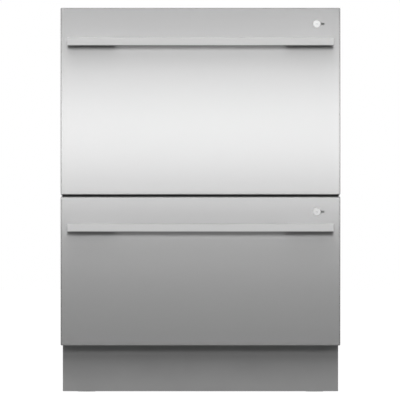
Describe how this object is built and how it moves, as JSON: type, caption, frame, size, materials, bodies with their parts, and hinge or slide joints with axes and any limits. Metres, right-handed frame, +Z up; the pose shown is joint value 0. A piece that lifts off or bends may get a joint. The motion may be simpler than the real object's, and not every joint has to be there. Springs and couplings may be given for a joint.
{
  "type": "dishwasher drawer",
  "caption": "Built-in double drawer dishwasher with brushed steel fronts, flat bar handles, telescopic runners, tubs, baskets, sealing lids and a recessed toe kick.",
  "frame": {"origin": "on the floor under the middle of the whole unit, handles included", "axes": "+Z up, the drawer fronts face -Y and open along -Y, +X to the right of someone facing the fronts"},
  "size_m": [0.599, 0.617, 0.8227],
  "materials": {
    "sheet_steel": "galvanised sheet, satin",
    "black_bar": "black, satin",
    "front_steel": "fine horizontal brushing",
    "kick_steel": "plain satin grey",
    "handle_steel": "satin",
    "rail_steel": "zinc plated, bright",
    "tub_plastic": "pale grey polypropylene, soft sheen",
    "white_plastic": "white, soft sheen",
    "grey_plastic": "mid grey",
    "black_plastic": "black",
    "motor_metal": "cast, satin",
    "blue_plastic": "blue",
    "wire_nylon": "grey nylon coated wire",
    "seal_rubber": "matte"
  },
  "bodies": {
    "root": {"left_side_panel": "sheet_steel", "right_side_panel": "sheet_steel", "rear_panel": "sheet_steel", "top_panel": "sheet_steel", "base_pan": "sheet_steel", "top_crossbar": "sheet_steel", "mid_divider": "black_bar", "toe_kick": "kick_steel", "toe_kick_brackets": "sheet_steel", "water_inlet": "white_plastic", "drain_outlet": "grey_plastic", "mains_gland": "black_plastic", "fixed_rails": "rail_steel", "lid_lifters": "grey_plastic"},
    "upper_drawer": {"upper_tub": "tub_plastic", "upper_drawer_rails": "rail_steel", "upper_front_skin": "front_steel", "upper_front_liner": "tub_plastic", "upper_handle_bar": "handle_steel", "upper_handle_posts": "handle_steel", "upper_dispenser": "white_plastic", "upper_basket": "wire_nylon", "upper_cutlery_basket": "grey_plastic", "upper_filter_plate": "grey_plastic", "upper_drain_filter": "white_plastic", "upper_wash_motor": "motor_metal", "upper_controller": "black_plastic"},
    "upper_middle_rails": {"upper_middle_rails": "rail_steel"},
    "upper_lid": {"upper_lid": "white_plastic", "upper_lid_seal": "seal_rubber"},
    "upper_spray_arm": {"upper_spray_arm": "grey_plastic"},
    "upper_start_button": {"upper_start_button": "white_plastic"},
    "upper_dispenser_flap": {"upper_dispenser_flap": "grey_plastic"},
    "upper_rinse_cap": {"upper_rinse_cap": "blue_plastic"},
    "upper_cup_rack": {"upper_cup_rack": "wire_nylon"},
    "lower_drawer": {"lower_tub": "tub_plastic", "lower_drawer_rails": "rail_steel", "lower_front_skin": "front_steel", "lower_front_liner": "tub_plastic", "lower_handle_bar": "handle_steel", "lower_handle_posts": "handle_steel", "lower_dispenser": "white_plastic", "lower_basket": "wire_nylon", "lower_cutlery_basket": "grey_plastic", "lower_filter_plate": "grey_plastic", "lower_drain_filter": "white_plastic", "lower_wash_motor": "motor_metal", "lower_controller": "black_plastic"},
    "lower_middle_rails": {"lower_middle_rails": "rail_steel"},
    "lower_lid": {"lower_lid": "white_plastic", "lower_lid_seal": "seal_rubber"},
    "lower_spray_arm": {"lower_spray_arm": "grey_plastic"},
    "lower_start_button": {"lower_start_button": "white_plastic"},
    "lower_dispenser_flap": {"lower_dispenser_flap": "grey_plastic"},
    "lower_rinse_cap": {"lower_rinse_cap": "blue_plastic"},
    "lower_cup_rack": {"lower_cup_rack": "wire_nylon"},
    "foot_front_left": {"foot_front_left": "black_plastic"},
    "foot_front_right": {"foot_front_right": "black_plastic"},
    "foot_rear_left": {"foot_rear_left": "black_plastic"},
    "foot_rear_right": {"foot_rear_right": "black_plastic"}
  },
  "joints": [
    {"name": "upper_drawer_slide", "type": "slide", "parent": "root", "child": "upper_drawer", "axis": [0, -1, 0], "range_m": [0, 0.49]},
    {"name": "upper_middle_rail_slide", "type": "slide", "parent": "root", "child": "upper_middle_rails", "axis": [0, -1, 0], "range_m": [0, 0.245]},
    {"name": "upper_lid_drop", "type": "slide", "parent": "root", "child": "upper_lid", "axis": [0, 0, -1], "range_m": [0, 0.0077]},
    {"name": "upper_spray_arm_spin", "type": "hinge", "parent": "upper_drawer", "child": "upper_spray_arm", "pos_m": [0, 0.0054, 0.5093], "axis": [0, 0, 1], "continuous": true},
    {"name": "upper_button_press", "type": "slide", "parent": "upper_drawer", "child": "upper_start_button", "axis": [0, 1, 0], "range_m": [0, 0.001], "stiffness_N_per_m": 800},
    {"name": "upper_flap_swing", "type": "hinge", "parent": "upper_drawer", "child": "upper_dispenser_flap", "pos_m": [-0.078, -0.2117, 0.6913], "axis": [-1, 0, 0], "range_deg": [0, 65]},
    {"name": "upper_rinse_cap_turn", "type": "hinge", "parent": "upper_drawer", "child": "upper_rinse_cap", "pos_m": [0.006, -0.2195, 0.7143], "axis": [0, 1, 0], "range_deg": [0, 90]},
    {"name": "upper_cup_rack_fold", "type": "hinge", "parent": "upper_drawer", "child": "upper_cup_rack", "pos_m": [0.2526, 0.0604, 0.6863], "axis": [0, 1, 0], "range_deg": [0, 90]},
    {"name": "lower_drawer_slide", "type": "slide", "parent": "root", "child": "lower_drawer", "axis": [0, -1, 0], "range_m": [0, 0.49]},
    {"name": "lower_middle_rail_slide", "type": "slide", "parent": "root", "child": "lower_middle_rails", "axis": [0, -1, 0], "range_m": [0, 0.245]},
    {"name": "lower_lid_drop", "type": "slide", "parent": "root", "child": "lower_lid", "axis": [0, 0, -1], "range_m": [0, 0.0077]},
    {"name": "lower_spray_arm_spin", "type": "hinge", "parent": "lower_drawer", "child": "lower_spray_arm", "pos_m": [0, 0.0054, 0.188], "axis": [0, 0, 1], "continuous": true},
    {"name": "lower_button_press", "type": "slide", "parent": "lower_drawer", "child": "lower_start_button", "axis": [0, 1, 0], "range_m": [0, 0.001], "stiffness_N_per_m": 800},
    {"name": "lower_flap_swing", "type": "hinge", "parent": "lower_drawer", "child": "lower_dispenser_flap", "pos_m": [-0.078, -0.2117, 0.294], "axis": [-1, 0, 0], "range_deg": [0, 65]},
    {"name": "lower_rinse_cap_turn", "type": "hinge", "parent": "lower_drawer", "child": "lower_rinse_cap", "pos_m": [0.006, -0.2195, 0.317], "axis": [0, 1, 0], "range_deg": [0, 90]},
    {"name": "lower_cup_rack_fold", "type": "hinge", "parent": "lower_drawer", "child": "lower_cup_rack", "pos_m": [0.2526, 0.0604, 0.289], "axis": [0, 1, 0], "range_deg": [0, 90]},
    {"name": "foot_front_left_screw", "type": "slide", "parent": "root", "child": "foot_front_left", "axis": [0, 0, -1], "range_m": [0, 0.057]},
    {"name": "foot_front_right_screw", "type": "slide", "parent": "root", "child": "foot_front_right", "axis": [0, 0, -1], "range_m": [0, 0.057]},
    {"name": "foot_rear_left_screw", "type": "slide", "parent": "root", "child": "foot_rear_left", "axis": [0, 0, -1], "range_m": [0, 0.057]},
    {"name": "foot_rear_right_screw", "type": "slide", "parent": "root", "child": "foot_rear_right", "axis": [0, 0, -1], "range_m": [0, 0.057]}
  ],
  "couplings": [
    {"joint": "upper_middle_rail_slide", "follows": "upper_drawer_slide", "ratio": 0.5},
    {"joint": "lower_middle_rail_slide", "follows": "lower_drawer_slide", "ratio": 0.5}
  ]
}
